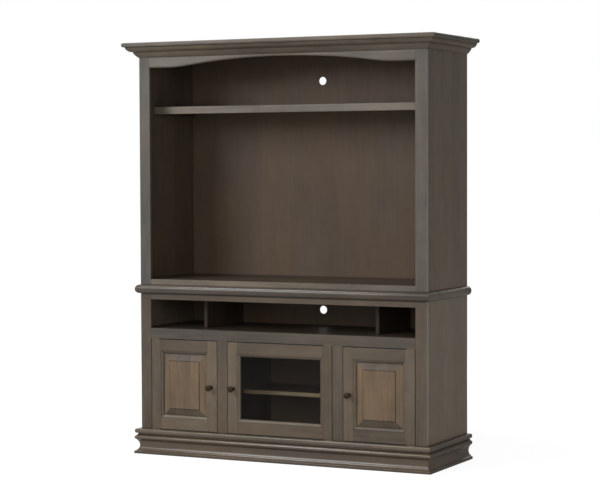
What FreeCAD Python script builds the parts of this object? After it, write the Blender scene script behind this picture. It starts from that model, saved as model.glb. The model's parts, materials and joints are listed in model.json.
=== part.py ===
import FreeCAD, Part
import os
import re
import Sketcher

# Entertainment center in two pieces, in millimetres: a base cabinet with three media bays over three
# inset doors, and a hutch with a main bay, a shelf, an arched rail and a crown.
# +Z is up, +X is to the right seen from the front, and the front faces -Y. The origin is on the floor
# under the middle of the whole object's box.

# Driving sizes: alias, value and what it measures
SIZES = (
    ("carcass_width", 1524.0, "from the outside of one cabinet side to the other"),
    ("carcass_depth", 504.0, "from the front of the face frame to the back edges of the sides"),
    ("side_thickness", 19.0, "cabinet sides"),
    ("board_thickness", 19.0, "floors, fixed shelves and partitions"),
    ("divider_thickness", 18.0, "dividers between the media bays"),
    ("back_thickness", 6.0, "back panels"),
    ("back_inset", 8.0, "back panels stand this far in from the back edges"),
    ("rabbet_width", 9.5, "how far a back panel reaches into each side"),
    ("frame_thickness", 19.0, "face frame members, front to back"),
    ("outer_stile_width", 57.0, "outer stiles of both face frames"),
    ("middle_stile_width", 54.0, "stiles between the doors"),
    ("middle_opening_width", 562.0, "frame opening of the middle door"),
    ("bottom_rail_width", 123.0, "base bottom rail, from the floor to the door openings"),
    ("door_opening_height", 448.0, "frame openings of the doors"),
    ("middle_rail_width", 50.0, "rail between the doors and the media bays"),
    ("bay_height", 142.0, "open media bays"),
    ("base_top_rail_width", 28.0, "rail over the media bays"),
    ("side_bay_width", 234.0, "outer media bays, in the frame's opening"),
    ("bay_divider_recess", 116.0, "bay dividers, behind the front"),
    ("bay_divider_dado", 3.0, "how deep the bay dividers stand in the media shelf"),
    ("top_board_thickness", 44.0, "board on top of the base"),
    ("top_board_reach", 22.0, "top board past the front and the sides"),
    ("top_board_nose", 21.0, "radius of both edges of the top board's nose"),
    ("hutch_rail_width", 27.0, "rail under the hutch's main bay"),
    ("main_bay_height", 810.6, "main bay, up to the strip on the shelf above it"),
    ("upper_bay_height", 187.4, "from the top of that shelf up to the ends of the arched rail"),
    ("hutch_shelf_recess", 106.0, "hutch shelf, behind the front"),
    ("nosing_width", 36.0, "strip along the front edge of the hutch shelf"),
    ("nosing_thickness", 19.0, "the same strip, front to back"),
    ("nosing_round", 2.0, "eased edges of that strip"),
    ("arched_rail_width", 49.5, "arched rail under the crown, at its ends"),
    ("arch_rise", 41.0, "rise of the arch in the middle"),
    ("arch_shoulder", 108.0, "straight part at each end of that rail's lower edge"),
    ("arch_blend_radius", 650.0, "hollow curves that lead from those straight parts into the arch"),
    ("arch_edge_round", 9.0, "rounded lower front edge of the arched rail"),
    ("cap_board_thickness", 21.0, "board on top of the crown"),
    ("crown_reach", 64.0, "cap board past the front and the sides"),
    ("cap_board_nose", 8.0, "radius of both edges of the cap board's nose"),
    ("crown_moulding_height", 51.5, "crown moulding under the cap board"),
    ("crown_moulding_reach", 51.0, "crown moulding past the front and the sides"),
    ("foot_moulding_reach", 28.5, "lower part of the base moulding, past the front and the sides"),
    ("cap_moulding_height", 21.0, "rounded strip on the base moulding"),
    ("cap_moulding_reach", 25.5, "the same, past the front and the sides"),
    ("cap_moulding_nose", 7.0, "radius of both edges of that strip's nose"),
    ("cap_moulding_drop", 1.0, "that strip, under the top edge of the bottom rail"),
    ("cord_hole_width", 40.0, "round holes in the back panels for leads"),
    ("base_cord_hole_rise", 77.0, "middle of the base's cord hole, over the media shelf"),
    ("hutch_cord_hole_rise", 126.4, "middle of the hutch's cord hole, over the hutch shelf"),
    ("cupboard_shelf_rise", 174.0, "underside of the cupboard shelves, over the base floor"),
    ("cupboard_shelf_recess", 200.0, "cupboard shelves, behind the front"),
    ("shelf_end_gap", 1.5, "between a cupboard shelf and what it stands between"),
    ("shelf_pin_width", 5.0, "shelf pins"),
    ("shelf_pin_length", 16.0, "half in the wood and half under the shelf"),
    ("pin_hole_slack", 0.1, "round a shelf pin in its hole"),
    ("pin_hole_depth", 10.0, "shelf pin holes in the sides"),
    ("pin_hole_pitch", 32.0, "from one shelf pin hole up to the next"),
    ("pin_hole_inset", 40.0, "pin holes in from the shelf's front and back edges"),
    ("cleat_width", 19.0, "square cleats under the top board and the hutch shelf"),
    ("glue_block_width", 30.0, "square glue blocks behind the bottom rail"),
    ("glue_block_length", 90.0, "the same, along the rail"),
    ("glue_block_inset", 223.0, "middle of the outer glue blocks, in from the cabinet sides"),
    ("joint_screw_width", 4.5, "screws that join the hutch to the base"),
    ("joint_screw_head", 10.0, "their heads"),
    ("joint_screw_head_height", 3.0, "the same, up and down"),
    ("joint_screw_bite", 22.0, "how far they reach into the top board"),
    ("joint_screw_slack", 0.1, "round such a screw in its hole"),
    ("joint_screw_side_inset", 123.0, "the screws, in from the hutch's sides"),
    ("joint_screw_inset", 70.0, "the screws, in from the hutch floor's front and back edges"),
    ("door_gap", 2.5, "round a door in its frame opening"),
    ("door_thickness", 21.0, "doors, front to back"),
    ("door_stile_width", 66.0, "door stiles, with their moulded edge"),
    ("door_rail_width", 71.0, "door rails, with their moulded edge"),
    ("sticking_width", 14.5, "moulded inner edge of a door frame"),
    ("sticking_depth", 11.5, "the same, from the door's front"),
    ("sticking_quirk", 1.5, "small step where that edge begins"),
    ("groove_depth", 9.0, "groove for the panel, or rebate for the glass"),
    ("groove_width", 5.0, "the same groove, front to back"),
    ("panel_slack", 0.2, "before and behind a door panel's edge in its groove"),
    ("panel_float", 1.5, "between a door panel's edge and the bottom of its groove"),
    ("bevel_width", 32.5, "sloping border of a raised panel"),
    ("field_inset", 0.6, "raised field of a panel, behind the door's front"),
    ("field_step", 2.2, "small step round the raised field"),
    ("glass_thickness", 3.0, "pane of the middle door"),
    ("knob_inset", 32.0, "middle of a knob, in from the door's edge"),
    ("knob_rise", 217.5, "middle of the knobs, over the doors' bottom edge"),
    ("knob_width", 30.0, "head of a knob"),
    ("knob_reach", 40.0, "a knob in front of its door"),
    ("knob_screw_width", 4.0, "screw through the door into a knob"),
    ("knob_screw_head", 9.0, "its head"),
    ("knob_screw_head_height", 2.5, "the same, front to back"),
    ("knob_screw_bite", 12.0, "how far it reaches into the knob"),
    ("knob_screw_slack", 0.1, "round that screw in its hole"),
    ("hinge_setback", 4.5, "hinge pin, in from the door's edge and from its front"),
    ("hinge_pin_width", 4.0, "hinge pins"),
    ("hinge_pin_slack", 0.05, "round a hinge pin in the door's leaf"),
    ("hinge_bore_slack", 0.4, "round a hinge pin in the wood"),
    ("hinge_pin_reach", 12.0, "how far a hinge pin goes into the door"),
    ("hinge_leaf_length", 40.0, "hinge leaves, from the door's edge"),
    ("hinge_leaf_width", 12.0, "hinge leaves, front to back"),
    ("hinge_leaf_thickness", 2.0, "hinge leaves, up and down"),
    ("hinge_leaf_inset", 1.0, "hinge leaves, behind the door's front and in from its edge"),
    ("catch_length", 36.0, "magnetic catches, along the door"),
    ("catch_height", 14.0, "magnetic catches, from the base floor up"),
    ("catch_depth", 24.0, "magnetic catches, front to back"),
    ("catch_inset", 14.0, "catches, in from the door's latch edge"),
    ("strike_thickness", 1.2, "strike plate on the back of a door"),
    ("strike_margin", 1.0, "strike plate inside the catch's outline"),
    ("strike_gap", 0.3, "between a strike plate and its catch with the door shut"),
    ("cut_overrun", 5.0, "how far a cut runs past the wood"),
)

# Places that follow from the driving sizes: alias and formula
LAYOUT = (
    ("half_width", "carcass_width / 2"),
    ("front_y", "(crown_reach - carcass_depth) / 2"),
    ("back_y", "front_y + carcass_depth"),
    ("frame_back_y", "front_y + frame_thickness"),
    ("back_panel_y", "back_y - back_inset - back_thickness"),
    ("inner_x", "half_width - side_thickness"),
    ("opening_x", "half_width - outer_stile_width"),
    ("middle_opening_x", "middle_opening_width / 2"),
    ("partition_x", "middle_opening_x + middle_stile_width / 2"),
    ("side_opening_width", "opening_x - middle_opening_x - middle_stile_width"),
    ("lintel_z", "bottom_rail_width + door_opening_height"),
    ("bay_floor_z", "lintel_z + middle_rail_width"),
    ("bay_top_z", "bay_floor_z + bay_height"),
    ("board_bottom_z", "bay_top_z + base_top_rail_width"),
    ("deck_z", "board_bottom_z + top_board_thickness"),
    ("hutch_floor_z", "deck_z + hutch_rail_width"),
    ("hutch_shelf_z", "hutch_floor_z + main_bay_height + nosing_width"),
    ("arch_z", "hutch_shelf_z + upper_bay_height"),
    ("crown_bottom_z", "arch_z + arched_rail_width"),
    ("cap_bottom_z", "crown_bottom_z + crown_moulding_height"),
    ("arch_end_x", "opening_x - arch_shoulder"),
    ("arch_centres_apart", "(arch_end_x ^ 2 / arch_rise + arch_rise) / 2"),
    ("arch_radius", "arch_centres_apart - arch_blend_radius"),
    ("arch_meet_x", "arch_end_x * arch_radius / arch_centres_apart"),
    ("arch_meet_drop", "arch_radius * arch_rise / arch_centres_apart"),
    ("arch_blend_turn", "asin(arch_end_x / arch_centres_apart)"),
    ("arch_blend_x", "arch_end_x - arch_blend_radius * sin(arch_blend_turn / 2)"),
    ("arch_blend_rise", "arch_blend_radius * (1 - cos(arch_blend_turn / 2))"),
    ("divider_x", "opening_x - side_bay_width - divider_thickness / 2"),
    ("foot_moulding_height", "bottom_rail_width - cap_moulding_drop - cap_moulding_height"),
    ("outer_block_x", "inner_x - glue_block_inset"),
    ("joint_screw_x", "inner_x - joint_screw_side_inset"),
    ("shelf_front_y", "front_y + cupboard_shelf_recess"),
    ("cupboard_shelf_z", "bottom_rail_width + cupboard_shelf_rise"),
    ("shelf_pin_z", "cupboard_shelf_z - shelf_pin_width / 2"),
    ("door_height", "door_opening_height - 2 * door_gap"),
    ("side_door_width", "side_opening_width - 2 * door_gap"),
    ("middle_door_width", "middle_opening_width - 2 * door_gap"),
    ("door_bottom_z", "bottom_rail_width + door_gap"),
    ("groove_back", "sticking_depth + groove_width"),
    ("knob_z", "door_bottom_z + knob_rise"),
)

# Outlines of the mouldings, as shares of reach (outwards) and height (upwards). A pair is a corner, and
# a corner with a second pair before it is reached by an arc through that pair.
CROWN_SHARES = (
    ((0.0, 0.0),),
    ((0.28, 0.25), (0.44, 0.50)),
    ((0.44, 0.56),),
    ((0.55, 0.56),),
    ((0.88, 0.73), (1.0, 0.95)),
    ((1.0, 1.0),),
    ((0.0, 1.0),),
)
FOOT_SHARES = (
    ((0.0, 0.0),),
    ((1.0, 0.0),),
    ((1.0, 0.12),),
    ((0.48, 0.22), (0.26, 0.40)),
    ((0.38, 0.56), (0.80, 0.71)),
    ((0.95, 0.78), (0.82, 0.86)),
    ((0.48, 0.95),),
    ((0.48, 1.0),),
    ((0.0, 1.0),),
)

# Half outline of a knob outside its bore, as shares of its radius (outwards) and its reach (away from
# the door)
KNOB_SHARES = (
    ((0.62, 0.0),),
    ((0.65, 0.04), (0.58, 0.08)),
    ((0.36, 0.13),),
    ((0.29, 0.38), (0.42, 0.61)),
    ((0.88, 0.71),),
    ((1.0, 0.79), (0.93, 0.87)),
)

# Middle of the arc on a door frame's moulded edge, as shares of that edge's width and depth
STICKING_SHARE = (0.57, 0.29)

# The most that one rounded edge may take of a board's thickness
ROUND_LIMIT_SHARE = 0.48

# Heights of the shelf pin holes, in pitches from the hole in use
LOWEST_PIN_HOLE = -2
PIN_HOLE_COUNT = 5

GLUE_BLOCK_COUNT = 4

# Under these distances two points of a sketch, or two places on a solid, are the same
SKETCH_TOLERANCE = 1e-6
PLACE_TOLERANCE = 1e-4

doc = FreeCAD.newDocument("entertainment_center")
sizes = doc.addObject("Spreadsheet::Sheet", "sizes")
for row, (alias, number, meaning) in enumerate(SIZES, start=1):
    sizes.set(f"A{row}", meaning)
    sizes.set(f"B{row}", str(number))
    sizes.setAlias(f"B{row}", alias)

HOME = {alias: f"sizes.{alias}" for alias, number, meaning in SIZES}
HOME.update({alias: f"layout.{alias}" for alias, formula in LAYOUT})


def qualify(formula):
    """The formula with each alias led by the name of its sheet."""
    return re.sub(r"[a-z][a-z_]*", lambda word: HOME.get(word.group(), word.group()), formula)


layout = doc.addObject("Spreadsheet::Sheet", "layout")
for row, (alias, formula) in enumerate(LAYOUT, start=1):
    layout.set(f"A{row}", alias)
    own = qualify(formula).replace("layout.", "")
    layout.set(f"B{row}", "=" + own)
    layout.setAlias(f"B{row}", alias)
    doc.recompute()

subparts = []


def bind(thing, name, formula):
    """Tie a property to a formula in the sheets' aliases."""
    thing.setExpression(name, qualify(formula))


def value(formula):
    """What a formula gives now."""
    return float(sizes.evalExpression(qualify(formula)))


def keep(piece, label):
    """Name a finished sub-part and put it on the list of files."""
    piece.Label = label
    subparts.append(piece)
    return piece


def box(x_range, y_range, z_range):
    """A plain board between pairs of places."""
    board = doc.addObject("Part::Box", "board")
    for length, axis, (low, high) in zip(("Length", "Width", "Height"), "xyz", (x_range, y_range, z_range)):
        bind(board, length, f"({high}) - ({low})")
        bind(board, f"Placement.Base.{axis}", low)
    return board


def cylinder(radius, length, place, direction):
    """A round bar from a place along an axis direction."""
    bar = doc.addObject("Part::Cylinder", "bar")
    bind(bar, "Radius", radius)
    bind(bar, "Height", length)
    bar.Placement.Rotation = FreeCAD.Rotation(FreeCAD.Vector(0, 0, 1), FreeCAD.Vector(*direction))
    for axis, formula in zip("xyz", place):
        bind(bar, f"Placement.Base.{axis}", formula)
    return bar


def group(label, pieces):
    """Like pieces kept together as separate solids of one sub-part."""
    together = doc.addObject("Part::Compound", label)
    together.Links = pieces
    return keep(together, label)


def fuse(pieces):
    """One solid out of pieces that touch."""
    whole = doc.addObject("Part::MultiFuse", "joined")
    whole.Shapes = pieces
    whole.Refine = True
    return whole


def cut(piece, tool):
    """A piece less the room that another takes."""
    rest = doc.addObject("Part::Cut", "trimmed")
    rest.Base = piece
    rest.Tool = tool
    return rest


def new_body(label):
    """An empty body."""
    body = doc.addObject("PartDesign::Body", label)
    body.Label = label
    return body


def add_sketch(body, role, level="0"):
    """A sketch on one of the body's own planes, moved to a level along X, Y or Z."""
    sketch = body.newObject("Sketcher::SketchObject", "outline")
    plane = next(feature for feature in body.Origin.OriginFeatures if feature.Role == role)
    sketch.AttachmentSupport = (plane, [""])
    sketch.MapMode = "FlatFace"
    sign = "-" if role == "XZ_Plane" else ""
    bind(sketch, "AttachmentOffset.Base.z", f"{sign}({level})")
    return sketch


def pin_point(sketch, curve, end, place):
    """Hold one point of a curve at a place given by two formulas."""
    for kind, formula in zip(("DistanceX", "DistanceY"), place):
        index = sketch.addConstraint(Sketcher.Constraint(kind, -1, 1, curve, end, value(formula)))
        sketch.setExpression(f"Constraints[{index}]", qualify(formula))


def spot(place):
    """The point that two formulas give."""
    return FreeCAD.Vector(value(place[0]), value(place[1]), 0)


def dome_middle(rim, crown):
    """Middle of the arc from a rim to a crown on the upright axis, round a centre on that axis."""
    rise = rim.y - crown.y
    radius = (rim.x ** 2 + rise ** 2) / (2 * rise)
    centre = FreeCAD.Vector(0, crown.y + radius, 0)
    outward = (rim - centre) + (crown - centre)
    return centre + outward.normalize() * abs(radius)


def draw_outline(sketch, steps):
    """A closed outline. A step is a corner, or a place on an arc and the corner that it leads to. None
    in the place of the first makes an arc centred on the upright axis."""
    curves = []
    for number, step in enumerate(steps):
        start = spot(steps[number - 1][-1])
        end = spot(step[-1])
        if len(step) == 1:
            shape = Part.LineSegment(start, end)
        else:
            middle = spot(step[0]) if step[0] else dome_middle(start, end)
            shape = Part.Arc(start, middle, end)
        curve = sketch.addGeometry(shape, False)
        ends = (1, 2) if sketch.getPoint(curve, 1).isEqual(start, SKETCH_TOLERANCE) else (2, 1)
        curves.append((curve, ends))
    for number, step in enumerate(steps):
        curve, ends = curves[number]
        before, before_ends = curves[number - 1]
        sketch.addConstraint(Sketcher.Constraint("Coincident", before, before_ends[1], curve, ends[0]))
        pin_point(sketch, curve, ends[1], step[-1])
        if len(step) == 2 and step[0]:
            guide = sketch.addGeometry(Part.Point(spot(step[0])), True)
            pin_point(sketch, guide, 1, step[0])
            sketch.addConstraint(Sketcher.Constraint("PointOnObject", guide, 1, curve))
        elif len(step) == 2:
            sketch.addConstraint(Sketcher.Constraint("PointOnObject", curve, 3, -2))


def draw_rectangle(sketch, across, up):
    """A rectangle between two pairs of formulas."""
    corners = ((across[0], up[0]), (across[1], up[0]), (across[1], up[1]), (across[0], up[1]))
    draw_outline(sketch, [(corner,) for corner in corners])


def draw_circle(sketch, place, radius):
    """A circle at a place given by two formulas."""
    curve = sketch.addGeometry(Part.Circle(spot(place), FreeCAD.Vector(0, 0, 1), value(radius)), False)
    pin_point(sketch, curve, 3, place)
    index = sketch.addConstraint(Sketcher.Constraint("Radius", curve, value(radius)))
    sketch.setExpression(f"Constraints[{index}]", qualify(radius))


def add_pad(body, sketch, length):
    """Wood from the sketch along +X, -Y or +Z."""
    pad = body.newObject("PartDesign::Pad", "pad")
    pad.Profile = sketch
    bind(pad, "Length", length)
    return pad


def add_pocket(body, sketch, depth=None):
    """A cut against the pad's direction, or right through both ways."""
    pocket = body.newObject("PartDesign::Pocket", "pocket")
    pocket.Profile = sketch
    if depth is None:
        pocket.Type = "ThroughAll"
        pocket.SideType = "Symmetric"
    else:
        bind(pocket, "Length", depth)
    return pocket


def rounding(radius, thickness):
    """A radius that leaves a flat between the two rounded edges of a board."""
    return f"min({radius}; {ROUND_LIMIT_SHARE} * {thickness})"


def add_fillet(body, feature, edges, radius):
    """Rounded edges on the last feature of a body."""
    fillet = body.newObject("PartDesign::Fillet", "round")
    fillet.Base = (feature, edges)
    bind(fillet, "Radius", radius)
    return fillet


def edges_where(feature, test):
    """Names of the edges whose middle point passes a test."""
    doc.recompute()
    names = []
    for number, edge in enumerate(feature.Shape.Edges, start=1):
        middle = edge.valueAt((edge.FirstParameter + edge.LastParameter) / 2)
        if test(middle):
            names.append(f"Edge{number}")
    return names


def near(one, other):
    """Whether two numbers are the same place."""
    return abs(one - other) < PLACE_TOLERANCE


def shares_to_steps(shares, across, up):
    """Outline steps from a table of shares: across and up turn a share into a formula."""
    return [tuple((across(out), up(high)) for out, high in step) for step in shares]


def signed(side, formula):
    """A formula for the right side (1) or its mirror image for the left (-1)."""
    return f"{side} * ({formula})"


def cabinet_side(label, side, z_range, pin_holes):
    """A side with a rabbet for the back panel and, in the base, holes for shelf pins."""
    body = new_body(label)
    outline = add_sketch(body, "XY_Plane", z_range[0])
    outer = signed(side, "half_width")
    inner = signed(side, "inner_x")
    rabbet = signed(side, "half_width - rabbet_width")
    draw_outline(outline, [
        ((inner, "frame_back_y"),),
        ((outer, "frame_back_y"),),
        ((outer, "back_y"),),
        ((rabbet, "back_y"),),
        ((rabbet, "back_panel_y"),),
        ((inner, "back_panel_y"),),
    ])
    add_pad(body, outline, f"({z_range[1]}) - ({z_range[0]})")
    if pin_holes:
        depth_end = "inner_x" if side > 0 else "-(inner_x)"
        drill_pin_holes(body, depth_end, side)
    return keep(body, label)


def drill_pin_holes(body, level, side):
    """Two upright rows of shelf pin holes. Side 0 is a board drilled right through."""
    holes = add_sketch(body, "YZ_Plane", level)
    low = f"shelf_pin_z + {LOWEST_PIN_HOLE} * pin_hole_pitch"
    for place in ("shelf_front_y + pin_hole_inset", "back_panel_y - pin_hole_inset"):
        draw_circle(holes, (place, low), "shelf_pin_width / 2 + pin_hole_slack")
    pocket = add_pocket(body, holes, None if side == 0 else "pin_hole_depth")
    pocket.Reversed = side > 0
    pattern = body.newObject("PartDesign::LinearPattern", "row")
    pattern.Originals = [pocket]
    pattern.Direction = (holes, ["V_Axis"])
    pattern.Occurrences = PIN_HOLE_COUNT
    bind(pattern, "Length", f"{PIN_HOLE_COUNT - 1} * pin_hole_pitch")
    body.Tip = pattern


def partition(side):
    """An upright board behind a middle stile."""
    body = new_body("partition")
    middle = signed(side, "partition_x")
    outline = add_sketch(body, "XY_Plane", "bottom_rail_width")
    draw_rectangle(
        outline,
        (f"{middle} - board_thickness / 2", f"{middle} + board_thickness / 2"),
        ("frame_back_y", "back_panel_y"),
    )
    add_pad(body, outline, "bay_floor_z - board_thickness - bottom_rail_width")
    drill_pin_holes(body, middle, 0)
    return body


def back_panel(label, z_range, hole_z):
    """A thin back with a round cord hole."""
    body = new_body(label)
    outline = add_sketch(body, "XZ_Plane", "back_panel_y + back_thickness")
    edge = "half_width - rabbet_width"
    draw_rectangle(outline, (f"-({edge})", edge), z_range)
    draw_circle(outline, ("0", hole_z), "cord_hole_width / 2")
    add_pad(body, outline, "back_thickness")
    return keep(body, label)


def nosed_board(label, z_low, thickness, reach, nose, holes=()):
    """A board with a rounded nose along its front and both ends, and screw holes from above."""
    body = new_body(label)
    outline = add_sketch(body, "XY_Plane", z_low)
    far = f"half_width + {reach}"
    draw_rectangle(outline, (f"-({far})", far), (f"front_y - {reach}", "back_y"))
    last = add_pad(body, outline, thickness)
    if holes:
        sketch = add_sketch(body, "XY_Plane", f"{z_low} + {thickness}")
        for place in holes:
            draw_circle(sketch, place, "joint_screw_width / 2 + joint_screw_slack")
        last = add_pocket(body, sketch, "joint_screw_bite + cut_overrun")
    front = value(f"front_y - {reach}")
    end = value(far)
    low = value(z_low)
    high = value(f"{z_low} + {thickness}")

    def on_nose(middle):
        level = near(middle.z, low) or near(middle.z, high)
        return level and (near(middle.y, front) or near(abs(middle.x), end))

    add_fillet(body, last, edges_where(last, on_nose), rounding(nose, thickness))
    return keep(body, label)


def front_moulding(label, shares, reach, height, z_low):
    """A moulding along the front, mitred at both ends."""
    body = new_body(label)
    far = f"half_width + {reach}"
    outline = add_sketch(body, "YZ_Plane", f"-({far})")
    draw_outline(outline, shares_to_steps(
        shares,
        lambda out: f"front_y - {out} * {reach}",
        lambda up: f"{z_low} + {up} * {height}",
    ))
    add_pad(body, outline, f"2 * ({far})")
    past = f"({reach} + cut_overrun)"
    for side in (1, -1):
        mitre = add_sketch(body, "XY_Plane", z_low)
        corner = signed(side, "half_width")
        outside = signed(side, f"half_width + {past}")
        draw_outline(mitre, [
            ((corner, "front_y"),),
            ((outside, f"front_y - {past}"),),
            ((outside, "front_y"),),
        ])
        add_pocket(body, mitre)
    return keep(body, label)


def side_moulding(label, side, shares, reach, height, z_low):
    """The same moulding along one side, mitred at the front."""
    body = new_body(label)
    outline = add_sketch(body, "XZ_Plane", "back_y")
    draw_outline(outline, shares_to_steps(
        shares,
        lambda out: signed(side, f"half_width + {out} * {reach}"),
        lambda up: f"{z_low} + {up} * {height}",
    ))
    add_pad(body, outline, f"carcass_depth + {reach}")
    past = f"({reach} + cut_overrun)"
    mitre = add_sketch(body, "XY_Plane", z_low)
    corner = signed(side, "half_width")
    draw_outline(mitre, [
        ((corner, "front_y"),),
        ((signed(side, f"half_width + {past}"), f"front_y - {past}"),),
        ((corner, f"front_y - {past}"),),
    ])
    add_pocket(body, mitre)
    return keep(body, label)


def nose_shares(reach, height, nose):
    """Outline of a strip with a rounded nose, as shares of its reach and height."""
    radius = value(rounding(nose, height))
    in_share = radius / value(reach)
    up_share = radius / value(height)
    bend_share = 1 - 0.5 ** 0.5
    return (
        ((0.0, 0.0),),
        ((1 - in_share, 0.0),),
        ((1 - in_share * bend_share, up_share * bend_share), (1.0, up_share)),
        ((1.0, 1 - up_share),),
        ((1 - in_share * bend_share, 1 - up_share * bend_share), (1 - in_share, 1.0)),
        ((0.0, 1.0),),
    )


# Base cabinet
for side, word in ((-1, "left"), (1, "right")):
    cabinet_side(f"base_{word}_side", side, ("0", "board_bottom_z"), True)
across_inside = ("-inner_x", "inner_x")
depth_inside = ("frame_back_y", "back_panel_y")
floor_bottom = "bottom_rail_width - board_thickness"
keep(box(across_inside, depth_inside, (floor_bottom, "bottom_rail_width")), "base_floor")
group("partitions", [partition(-1), partition(1)])

shelf_body = new_body("media_shelf")
shelf_outline = add_sketch(shelf_body, "XY_Plane", "bay_floor_z - board_thickness")
draw_rectangle(shelf_outline, across_inside, depth_inside)
add_pad(shelf_body, shelf_outline, "board_thickness")
dados = add_sketch(shelf_body, "XY_Plane", "bay_floor_z")
dividers = []
for side in (-1, 1):
    middle = signed(side, "divider_x")
    x_range = (f"{middle} - divider_thickness / 2", f"{middle} + divider_thickness / 2")
    y_range = ("front_y + bay_divider_recess", "back_panel_y")
    draw_rectangle(dados, x_range, y_range)
    dividers.append(box(x_range, y_range, ("bay_floor_z - bay_divider_dado", "board_bottom_z")))
add_pocket(shelf_body, dados, "bay_divider_dado")
keep(shelf_body, "media_shelf")
group("bay_dividers", dividers)
back_panel("base_back_panel", (floor_bottom, "board_bottom_z"), "bay_floor_z + base_cord_hole_rise")

screw_places = []
for side in (-1, 1):
    for depth in ("frame_back_y + joint_screw_inset", "back_panel_y - joint_screw_inset"):
        screw_places.append((signed(side, "joint_screw_x"), depth))
nosed_board(
    "base_top_board", "board_bottom_z", "top_board_thickness", "top_board_reach", "top_board_nose",
    screw_places,
)

frame_depth = ("front_y", "frame_back_y")
frame_inside = ("-opening_x", "opening_x")


def stile_pair(label, inner, outer, z_range):
    """Two like stiles, one each side of the middle."""
    left = box((f"-({outer})", f"-({inner})"), frame_depth, z_range)
    right = box((inner, outer), frame_depth, z_range)
    group(label, [left, right])


stile_pair("base_outer_stiles", "opening_x", "half_width", ("0", "board_bottom_z"))
stile_pair(
    "base_middle_stiles", "middle_opening_x", "middle_opening_x + middle_stile_width",
    ("bottom_rail_width", "lintel_z"),
)
keep(box(frame_inside, frame_depth, ("bay_top_z", "board_bottom_z")), "base_top_rail")
keep(box(frame_inside, frame_depth, ("lintel_z", "bay_floor_z")), "base_middle_rail")
keep(box(frame_inside, frame_depth, ("0", "bottom_rail_width")), "base_bottom_rail")

mouldings = (
    ("cap_moulding", nose_shares("cap_moulding_reach", "cap_moulding_height", "cap_moulding_nose"),
     "cap_moulding_reach", "cap_moulding_height", "foot_moulding_height"),
    ("foot_moulding", FOOT_SHARES, "foot_moulding_reach", "foot_moulding_height", "0"),
    ("crown_moulding", CROWN_SHARES, "crown_moulding_reach", "crown_moulding_height", "crown_bottom_z"),
)
for name, shares, reach, height, z_low in mouldings:
    front_moulding(f"{name}_front", shares, reach, height, z_low)
    side_moulding(f"{name}_left", -1, shares, reach, height, z_low)
    side_moulding(f"{name}_right", 1, shares, reach, height, z_low)

# Cleats that hold the top board, and glue blocks behind the bottom rail
cleat_bottom = "board_bottom_z - cleat_width"
cleat_levels = (cleat_bottom, "board_bottom_z")
side_cleat_depth = ("frame_back_y + cleat_width", "back_panel_y")
group("top_board_cleats", [
    box(("-inner_x", "inner_x"), ("frame_back_y", "frame_back_y + cleat_width"), cleat_levels),
    box(("-inner_x", "-(inner_x - cleat_width)"), side_cleat_depth, cleat_levels),
    box(("inner_x - cleat_width", "inner_x"), side_cleat_depth, cleat_levels),
])
blocks = []
for number in range(GLUE_BLOCK_COUNT):
    place = f"outer_block_x * ({2 * number} / {GLUE_BLOCK_COUNT - 1} - 1)"
    blocks.append(box(
        (f"{place} - glue_block_length / 2", f"{place} + glue_block_length / 2"),
        ("frame_back_y", "frame_back_y + glue_block_width"),
        (f"{floor_bottom} - glue_block_width", floor_bottom),
    ))
group("glue_blocks", blocks)

# Cupboard shelves on their pins
bays = (
    ("-inner_x", "-(partition_x + board_thickness / 2)"),
    ("-(partition_x - board_thickness / 2)", "partition_x - board_thickness / 2"),
    ("partition_x + board_thickness / 2", "inner_x"),
)
shelves = []
pins = []
for low, high in bays:
    shelves.append(box(
        (f"{low} + shelf_end_gap", f"{high} - shelf_end_gap"),
        ("shelf_front_y", "back_panel_y"),
        ("cupboard_shelf_z", "cupboard_shelf_z + board_thickness"),
    ))
    for start in (f"{low} - shelf_pin_length / 2", f"{high} - shelf_pin_length / 2"):
        for depth in ("shelf_front_y + pin_hole_inset", "back_panel_y - pin_hole_inset"):
            pin_start = (start, depth, "shelf_pin_z")
            pins.append(cylinder("shelf_pin_width / 2", "shelf_pin_length", pin_start, (1, 0, 0)))
group("cupboard_shelves", shelves)
group("shelf_pins", pins)

# Hutch
hutch_levels = ("deck_z", "cap_bottom_z")
for side, word in ((-1, "left"), (1, "right")):
    cabinet_side(f"hutch_{word}_side", side, hutch_levels, False)
floor_body = new_body("hutch_floor")
floor_outline = add_sketch(floor_body, "XY_Plane", "hutch_floor_z - board_thickness")
draw_rectangle(floor_outline, across_inside, depth_inside)
for place in screw_places:
    draw_circle(floor_outline, place, "joint_screw_width / 2 + joint_screw_slack")
add_pad(floor_body, floor_outline, "board_thickness")
head_seats = add_sketch(floor_body, "XY_Plane", "hutch_floor_z")
for place in screw_places:
    draw_circle(head_seats, place, "joint_screw_head / 2 + joint_screw_slack")
add_pocket(floor_body, head_seats, "joint_screw_head_height")
keep(floor_body, "hutch_floor")
keep(box(across_inside, depth_inside, ("cap_bottom_z - board_thickness", "cap_bottom_z")), "hutch_top_panel")
back_panel("hutch_back_panel", hutch_levels, "hutch_shelf_z + hutch_cord_hole_rise")
shelf_bottom = "hutch_shelf_z - board_thickness"
shelf_start = "front_y + hutch_shelf_recess + nosing_thickness"
keep(box(across_inside, (shelf_start, "back_panel_y"), (shelf_bottom, "hutch_shelf_z")), "hutch_shelf")
nosing_body = new_body("hutch_shelf_nosing")
nosing_outline = add_sketch(nosing_body, "XZ_Plane", shelf_start)
draw_rectangle(nosing_outline, across_inside, ("hutch_shelf_z - nosing_width", "hutch_shelf_z"))
nosing_pad = add_pad(nosing_body, nosing_outline, "nosing_thickness")
nosing_front = value("front_y + hutch_shelf_recess")
nosing_end = value("inner_x")


def on_nosing(middle):
    """Whether a point is on one of the nosing's two long front edges."""
    return near(middle.y, nosing_front) and not near(abs(middle.x), nosing_end)


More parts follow.
